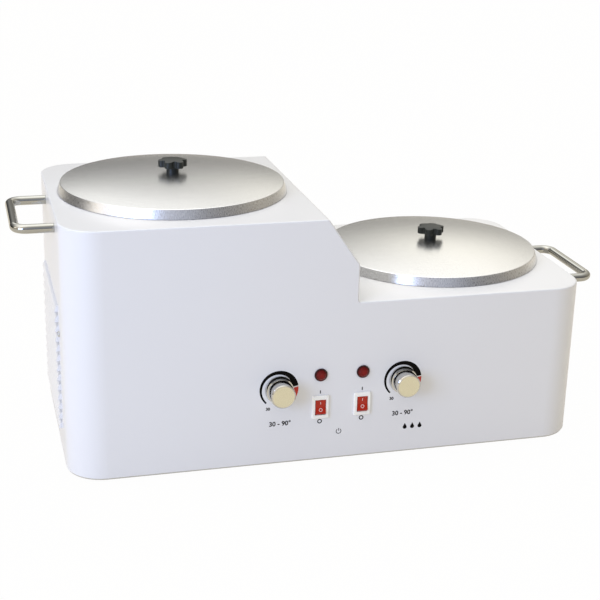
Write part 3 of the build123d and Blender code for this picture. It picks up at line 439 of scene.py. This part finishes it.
def spunLid(side):
    material, tree, shader = newMaterial("spunAluminium_" + side, {"Metallic": 1.0})
    middle = lidMiddle[side]
    turned = placeGroup(tree, turnedGroup, {"Middle": (middle.x, middle.y, 0.0),
                                            "Ring scale": lidLook["ringScale"],
                                            "Stroke scale": lidLook["strokeScale"]})
    grain = placeGroup(tree, grainGroup, {"Scale": lidLook["grainScale"]})
    onBand = addMath(tree, "GREATER_THAN", turned.outputs["Radius"], lidLook["shoulder"])
    rings = addMath(tree, "MULTIPLY", turned.outputs["Rings"], lidLook["ringShare"])
    speckle = addMath(tree, "MULTIPLY", grain.outputs["Value"], 1.0 - lidLook["ringShare"])
    dome = addMath(tree, "ADD", rings, speckle)
    marks = addBlend(tree, onBand, dome, turned.outputs["Strokes"])
    domeRoughness = addRange(tree, marks, *lidLook["domeRoughness"])
    bandRoughness = addRange(tree, marks, *lidLook["bandRoughness"])
    depth = addRange(tree, onBand, lidLook["domeHeight"], lidLook["bandHeight"])
    feedAll(tree, shader, {
        "Base Color": addMix(tree, marks, lidLook["shade"], lidLook["colour"]),
        "Roughness": addBlend(tree, onBand, domeRoughness, bandRoughness),
    })
    addBump(tree, shader, addMath(tree, "MULTIPLY", marks, depth), 1.0)
    return material


# Lamp lens: deep red, with a painted glow: its colour is painted brighter in the middle, where the bulb sits
# behind it, and darker towards the rim
# middle and rim: colours of the painted glow's bright middle and dark rim; glow: the painted glow's radius
lensLook = {
    "middle": (0.36, 0.012, 0.008), "rim": (0.085, 0.002, 0.002), "glow": 4.6 * mm,
    "grainScale": 900.0, "paintedGlowGrain": (0.8, 1.0), "roughness": (0.14, 0.26),
    "shader": {"Specular IOR Level": 0.22, "IOR": 1.45, "Coat Weight": 0.05,
               "Coat Roughness": 0.1},
}


def redLensWithPaintedGlow(side):
    material, tree, shader = newMaterial("redLensWithPaintedGlow_" + side, lensLook["shader"])
    centred = tree.nodes.new("ShaderNodeMapping")
    feedAll(tree, centred, {"Vector": objectPoint(tree), "Location": -lampMiddle[side]})
    distance = addVector(tree, "LENGTH", centred.outputs[0])
    # Painted glow: the share of the rim colour grows with distance from the lens middle, so the middle is painted
    # bright
    paintedGlowFade = addRange(tree, distance.outputs["Value"], 0.0, 1.0, 0.0, lensLook["glow"])
    grain = placeGroup(tree, grainGroup, {"Scale": lensLook["grainScale"]}).outputs["Value"]
    share = addMath(tree, "MULTIPLY", paintedGlowFade, addRange(tree, grain, *lensLook["paintedGlowGrain"]))
    feedAll(tree, shader, {
        "Base Color": addMix(tree, share, lensLook["middle"], lensLook["rim"]),
        "Roughness": addRange(tree, grain, *lensLook["roughness"]),
    })
    return material


finishes = {
    "enamel": tintedFinish("enamel", enamelLook),
    "black_phenolic": tintedFinish("blackPhenolic", phenolicLook),
    "white_nylon": tintedFinish("whiteNylon", nylonWhiteLook),
    "black_nylon": tintedFinish("blackNylon", nylonBlackLook),
    "black_rubber": tintedFinish("blackRubber", rubberLook),
    "bakelite": tintedFinish("bakelite", bakeliteLook),
    "wire_sleeve": tintedFinish("wireSleeve", sleeveLook),
    "red_rocker": tintedFinish("redRocker", rockerLook),
    "chrome_rod": grainedMetal("chromeRod", chromeRodLook),
    "zinc_sheet": grainedMetal("zincSheet", zincLook),
    "zinc_fastener": grainedMetal("zincFastener", fastenerLook),
    "pot_aluminium": grainedMetal("potAluminium", potLook),
    "mica_band": grainedMetal("heaterJacket", heaterLook),
    "brass_terminal": grainedMetal("brass", brassLook),
    "copper_capillary": grainedMetal("copper", copperLook),
    "chrome_dial": turnedMetal("chromeDial", dialLook),
}
inkBlack = tintedFinish("inkBlack", inkBlackLook)
inkRed = tintedFinish("inkRed", inkRedLook)
paintPale = tintedFinish("paintPale", paintPaleLook)
champagne = turnedMetal("champagneFace", dialFaceLook)
smokedRed = tintedFinish("smokedRed", smokedRedLook)
ownFinish = {}
for side in sides:
    ownFinish[side + "_lamp_body"] = smokedRed
    ownFinish[side + "_lid"] = spunLid(side)
    ownFinish[side + "_lamp_lens"] = redLensWithPaintedGlow(side)

for node, piece in frame["nodes"].items():
    piece.data.materials.clear()
    piece.data.materials.append(ownFinish.get(node) or finishes[slotOf[node]])
print("finishes on", len(frame["nodes"]), "CAD nodes")


# New pieces are built flat, then stood on the panel
mergeGap = 0.001 * mm
filmDepth = 0.06 * mm
filmSink = 0.02 * mm
casingBase = 5.5 * mm  # lower edge of the panel


def standOnPanel(x, z, proud):
    turn = Matrix(((1, 0, 0), (0, 0, -1), (0, 1, 0))).to_4x4()
    return Matrix.Translation((x, panelY - proud, z)) @ turn


def finishPiece(name, bm, place, body, finish):
    bm.transform(place)
    bmesh.ops.remove_doubles(bm, verts=bm.verts[:], dist=mergeGap)
    bmesh.ops.recalc_face_normals(bm, faces=bm.faces[:])
    mesh = bpy.data.meshes.new(name)
    bm.to_mesh(mesh)
    bm.free()
    mesh.materials.append(finish)
    piece = bpy.data.objects.new(name, mesh)
    bpy.context.scene.collection.objects.link(piece)
    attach(piece, body)


def thicken(bm, depth):
    grown = bmesh.ops.extrude_face_region(bm, geom=bm.faces[:])
    moved = [item for item in grown["geom"] if isinstance(item, bmesh.types.BMVert)]
    bmesh.ops.translate(bm, verts=moved, vec=(0, 0, depth))


def printFilm(name, bm, x, z, ink):  # a thin print on the panel
    thicken(bm, filmDepth)
    finishPiece(name, bm, standOnPanel(x, z, -filmSink), housing, ink)


def sweepEdge(bm, inner, outer, start, sweep, steps, **options):
    ends = [bm.verts.new((radius * math.cos(start), radius * math.sin(start), 0))
            for radius in (inner, outer)]
    edge = bm.edges.new(ends)
    bmesh.ops.spin(bm, geom=[*ends, edge], cent=(0, 0, 0), axis=(0, 0, 1), angle=sweep,
                   steps=steps, use_duplicate=False, **options)


# Clockwise band: start and sweep in degrees, from the top; width follows the share of the sweep
def arcBand(bm, outer, widthAt, start, sweep, steps):
    inner = outer * 0.5  # moved out below, to the band's own width
    sweepEdge(bm, inner, outer, math.radians(90 - start), -math.radians(sweep), steps)
    for vertex in bm.verts:
        radius = vertex.co.length
        if radius > (inner + outer) / 2:
            continue
        turned = (start - 90 + math.degrees(math.atan2(vertex.co.y, vertex.co.x))) % 360
        share = ((360 - turned) % 360) / sweep
        vertex.co *= (outer - widthAt(min(share, 1.0))) / radius


def ringMark(bm, radius, line, steps):
    sweepEdge(bm, radius - line / 2, radius + line / 2, 0, 2 * math.pi, steps, use_merge=True)


def barMark(bm, wide, high, middle=(0, 0)):
    made = bmesh.ops.create_grid(bm, x_segments=1, y_segments=1, size=0.5)
    bmesh.ops.scale(bm, vec=(wide, high, 1), verts=made["verts"])
    bmesh.ops.translate(bm, vec=(*middle, 0), verts=made["verts"])


# Swelling scale round each dial: black, then a short red end. Lengths in mm, turns in degrees
scaleSet = {
    "outer": 17.2, "thin": 1.45, "swell": 3.0, "flare": 1.55, "flareCurve": 6,
    "start": -137.0, "sweep": 219.0, "steps": 72, "gap": 3.0,
    "redSweep": 46.0, "redWide": 4.6, "redThin": 0.3, "redSteps": 18,
}


def blackWidth(share):
    flare = scaleSet["flare"] * mm * share ** scaleSet["flareCurve"]
    return scaleSet["thin"] * mm + scaleSet["swell"] * mm * share + flare


def redWidth(share):
    wide, thin = scaleSet["redWide"] * mm, scaleSet["redThin"] * mm
    return wide + (thin - wide) * share


def makeScale(side):
    middle = dialMiddle[side]
    outer = scaleSet["outer"] * mm
    bm = bmesh.new()
    arcBand(bm, outer, blackWidth, scaleSet["start"], scaleSet["sweep"], scaleSet["steps"])
    printFilm(side + "_dial_scale", bm, middle.x, middle.z, inkBlack)
    redStart = scaleSet["start"] + scaleSet["sweep"] + scaleSet["gap"]
    bm = bmesh.new()
    arcBand(bm, outer, redWidth, redStart, scaleSet["redSweep"], scaleSet["redSteps"])
    printFilm(side + "_dial_scale_end", bm, middle.x, middle.z, inkRed)


# Satin face let into each dial knob, in mm
faceSet = {"radius": 9.35, "depth": 0.12, "sink": 0.04, "segments": 64}


def makeDialFace(side):
    middle = dialMiddle[side]
    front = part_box(side + "_dial_knob")[0].y
    bm = bmesh.new()
    bmesh.ops.create_circle(bm, cap_ends=True, radius=faceSet["radius"] * mm,
                            segments=faceSet["segments"])
    thicken(bm, faceSet["depth"] * mm)
    place = standOnPanel(middle.x, middle.z, panelY - front - faceSet["sink"] * mm)
    finishPiece(side + "_dial_face", bm, place, side + "_dial", champagne)


# Plain numbers by each dial: words, height and place from the dial's middle, in mm
numberSet = {
    "low": ("30", 2.6, (-9.6, -17.8)), "range": ("30 - 90°", 4.2, (1.3, -32.5)),
    "capital": 0.70, "segments": 4, "weight": 0.16,  # capital: height at a font size of 1
}


def makeNumber(side, key):
    name = f"{side}_{key}_number"
    words, high, (x, z) = numberSet[key]
    curve = bpy.data.curves.new(name, "FONT")
    curve.body = words
    curve.align_x = "CENTER"
    curve.align_y = "CENTER"
    curve.size = high * mm / numberSet["capital"]
    curve.resolution_u = numberSet["segments"]
    curve.offset = numberSet["weight"] * mm
    holder = bpy.data.objects.new(name + "_curve", curve)
    bpy.context.scene.collection.objects.link(holder)
    bpy.context.view_layer.update()
    depsgraph = bpy.context.evaluated_depsgraph_get()
    flat = bpy.data.meshes.new_from_object(holder.evaluated_get(depsgraph))
    bpy.data.objects.remove(holder)
    bpy.data.curves.remove(curve)
    bm = bmesh.new()
    bm.from_mesh(flat)
    bpy.data.meshes.remove(flat)
    bmesh.ops.remove_doubles(bm, verts=bm.verts[:], dist=mergeGap)
    middle = dialMiddle[side]
    printFilm(name, bm, middle.x + x * mm, middle.z + z * mm, inkBlack)


# A bar above each switch and a ring below it, in mm
switchSet = {"line": 0.9, "bar": 3.0, "above": 13.9, "ring": 1.7, "below": 13.9, "steps": 40}


def makeSwitchMarks(side):
    middle = switchMiddle[side]
    line = switchSet["line"] * mm
    bm = bmesh.new()
    barMark(bm, line, switchSet["bar"] * mm)
    above = middle.z + switchSet["above"] * mm
    printFilm(side + "_on_mark", bm, middle.x, above, inkBlack)
    bm = bmesh.new()
    ringMark(bm, switchSet["ring"] * mm, line, switchSet["steps"])
    below = middle.z - switchSet["below"] * mm
    printFilm(side + "_off_mark", bm, middle.x, below, inkBlack)


# Power symbol between the switches: place on the panel and lengths in mm, open in degrees
powerSet = {
    "place": (2.7, 24.4), "radius": 2.2, "line": 0.6, "open": 70.0, "steps": 40,
    "bar": 2.6, "barDrop": 0.25,  # share of the bar by which it sinks into the ring
}


def makePowerMark():
    bm = bmesh.new()
    line, radius, bar = (powerSet[key] * mm for key in ("line", "radius", "bar"))
    arcBand(bm, radius + line / 2, lambda share: line, powerSet["open"] / 2,
            360 - powerSet["open"], powerSet["steps"])
    barMark(bm, line, bar, (0, radius - bar * powerSet["barDrop"]))
    x, z = powerSet["place"]
    printFilm("power_mark", bm, x * mm, z * mm + casingBase, inkBlack)


# Row of drops at the right: circles drawn up to a point, in mm
dropSet = {
    "places": (64.2, 71.2, 78.2), "z": 22.5, "radius": 1.9, "high": 5.6, "pinch": 0.55,
    "segments": 32,
}


def makeDrops():
    radius = dropSet["radius"] * mm
    rise = (dropSet["high"] - 2 * dropSet["radius"]) * mm
    for number, x in enumerate(dropSet["places"], 1):
        bm = bmesh.new()
        bmesh.ops.create_circle(bm, cap_ends=True, radius=radius,
                                segments=dropSet["segments"])
        for vertex in bm.verts:
            lift = max(0.0, vertex.co.y / radius)
            vertex.co.x *= 1 - dropSet["pinch"] * lift ** 2
            vertex.co.y += rise * lift ** 3
        printFilm(f"drop_mark_{number}", bm, x * mm, dropSet["z"] * mm + casingBase, inkBlack)


# Pale paint in the two marks cut into each rocker: the bar in the flush half, the ring in the
# sloping half. Lengths in mm from the rocker's axis
rockerSet = {
    "face": 4.0, "slopeFace": 3.804, "slant": -18.0, "cut": 0.25, "fill": 0.16,
    "barAt": 4.1, "barWide": 0.6, "barHigh": 2.3,
    "ringAt": -3.4, "ringOuter": 1.65, "ringInner": 1.05, "steps": 40,
}


def makeRockerPaint(side):
    axis = Vector(jointOf[side + "_rocker_tip"]["pos_m"])
    body = side + "_rocker_body"
    bm = bmesh.new()
    barMark(bm, rockerSet["barWide"] * mm, rockerSet["barHigh"] * mm)
    thicken(bm, rockerSet["fill"] * mm)
    floor = (panelY - axis.y) + (rockerSet["face"] - rockerSet["cut"]) * mm
    place = standOnPanel(axis.x, axis.z + rockerSet["barAt"] * mm, floor)
    finishPiece(side + "_rocker_bar", bm, place, body, paintPale)
    bm = bmesh.new()
    outer, inner = rockerSet["ringOuter"], rockerSet["ringInner"]
    ringMark(bm, (outer + inner) / 2 * mm, (outer - inner) * mm, rockerSet["steps"])
    thicken(bm, rockerSet["fill"] * mm)
    slant = Matrix.Rotation(math.radians(rockerSet["slant"]), 4, "X")
    slopeFloor = (rockerSet["slopeFace"] - rockerSet["cut"]) * mm
    lifted = Matrix.Translation((0, rockerSet["ringAt"] * mm, slopeFloor))
    place = standOnPanel(axis.x, axis.z, panelY - axis.y) @ slant @ lifted
    finishPiece(side + "_rocker_ring", bm, place, body, paintPale)


for side in sides:
    makeScale(side)
    makeDialFace(side)
    makeSwitchMarks(side)
    makeRockerPaint(side)
    makeNumber(side, "low")
    makeNumber(side, "range")
makePowerMark()
makeDrops()
print("panel marks, dial faces and rocker paint made")


# Pale floor with a soft glow of its own; seen is the share of white that the camera sees on it
floorSet = {
    "size": 16.0, "colour": (0.40, 0.375, 0.33), "glow": (0.44, 0.41, 0.355), "seen": 0.97,
    "roughness": 0.9, "specular": 0.1,
}


def makeFloor():
    bm = bmesh.new()
    bmesh.ops.create_grid(bm, x_segments=1, y_segments=1, size=floorSet["size"] / 2)
    mesh = bpy.data.meshes.new("floor")
    bm.to_mesh(mesh)
    bm.free()
    constants = {"Base Color": floorSet["colour"], "Roughness": floorSet["roughness"],
                 "Specular IOR Level": floorSet["specular"],
                 "Emission Color": floorSet["glow"], "Emission Strength": 1.0}
    material, tree, shader = newMaterial("paleFloor", constants)
    white = tree.nodes.new("ShaderNodeEmission")
    blend = tree.nodes.new("ShaderNodeMixShader")
    path = tree.nodes.new("ShaderNodeLightPath")
    seen = addMath(tree, "MULTIPLY", path.outputs["Is Camera Ray"], floorSet["seen"])
    for index, output in enumerate((seen, shader.outputs[0], white.outputs[0])):
        tree.links.new(output, blend.inputs[index])
    tree.links.new(blend.outputs[0], tree.nodes["Material Output"].inputs["Surface"])
    mesh.materials.append(material)
    floor = bpy.data.objects.new("floor", mesh)
    bpy.context.scene.collection.objects.link(floor)


# Soft studio light. A lobe is a soft patch of sky: azimuth from the front (left is minus),
# elevation and spread in degrees, then strength and tint
skySet = {
    "base": (0.012, 0.012, 0.012),
    "seen": (0.985, 0.985, 0.98),
    "lobes": {
        "window": (-58.0, 16.0, 14.0, 0.60, (1.06, 0.98, 0.95)),
        "windowHigh": (-55.0, 40.0, 18.0, 0.6, (1.15, 0.97, 0.75)),
        "sideLow": (-89.0, 19.0, 7.4, 1.9, (1.04, 0.97, 0.84)),
        "sideHigh": (-96.0, 60.0, 17.0, 1.1, (1.0, 0.99, 0.97)),
        "front": (-5.0, 20.0, 16.0, 0.42, (0.92, 1.0, 1.25)),
        "rearHigh": (175.0, 68.0, 24.0, 1.5, (1.0, 1.0, 1.0)),
        "rearRim": (170.0, 41.0, 6.5, 0.55, (1.0, 1.0, 0.97)),
        "rearLeft": (-172.0, 29.0, 6.5, 1.5, (1.0, 1.0, 0.96)),
        "rearSide": (157.0, 22.0, 5.5, 0.66, (1.03, 1.0, 0.86)),
        "rearSideHigh": (148.0, 33.0, 6.5, 0.36, (1.04, 1.0, 0.88)),
        "rearRight": (135.0, 20.0, 22.0, 0.40, (1.06, 1.0, 0.88)),
        "right": (88.0, 18.0, 20.0, 0.30, (1.12, 1.0, 0.80)),
        "frontRight": (42.0, 24.0, 20.0, 0.14, (1.0, 0.98, 1.04)),
        "top": (0.0, 85.0, 25.0, 0.88, (1.0, 1.0, 0.97)),
    },
}


def lobeDirection(azimuth, elevation):
    turn, rise = math.radians(azimuth), math.radians(elevation)
    return (math.sin(turn) * math.cos(rise), -math.cos(turn) * math.cos(rise), math.sin(rise))


def makeSky():
    world = bpy.data.worlds.new("studio")
    bpy.context.scene.world = world
    world.use_nodes = True
    tree = world.node_tree
    direction = tree.nodes.new("ShaderNodeTexCoord").outputs["Generated"]
    total = skySet["base"]
    for azimuth, elevation, spread, strength, tint in skySet["lobes"].values():
        facing = addVector(tree, "DOT_PRODUCT", direction, lobeDirection(azimuth, elevation))
        away = addMath(tree, "SUBTRACT", facing.outputs["Value"], 1.0)
        sharpness = 1.0 / math.radians(spread) ** 2
        glow = addMath(tree, "EXPONENT", addMath(tree, "MULTIPLY", away, sharpness))
        light = [strength * part for part in tint]
        total = addVector(tree, "MULTIPLY_ADD", glow, light, total).outputs[0]
    path = tree.nodes.new("ShaderNodeLightPath")
    shown = addMix(tree, path.outputs["Is Camera Ray"], total, skySet["seen"])
    feedAll(tree, tree.nodes["Background"], {"Color": shown})


# Window near the left front: far is its distance from aim, in metres
nearSet = {
    "azimuth": -54.5, "elevation": 16.0, "far": 1.4, "size": 0.66,
    "aim": (0.0, -0.109, 0.11), "power": 5.6, "colour": (0.69, 0.95, 1.60),
}


def makeNearWindow():
    data = bpy.data.lights.new("nearWindow", "AREA")
    data.shape = "SQUARE"
    data.size = nearSet["size"]
    data.energy = nearSet["power"]
    data.color = nearSet["colour"]
    lamp = bpy.data.objects.new("nearWindow", data)
    toLamp = Vector(lobeDirection(nearSet["azimuth"], nearSet["elevation"]))
    lamp.location = Vector(nearSet["aim"]) + nearSet["far"] * toLamp
    lamp.rotation_euler = (-toLamp).to_track_quat("-Z", "Y").to_euler()
    bpy.context.scene.collection.objects.link(lamp)


makeFloor()
makeSky()
makeNearWindow()
bpy.context.scene.view_settings.view_transform = "Standard"
print("floor, sky and near window set")
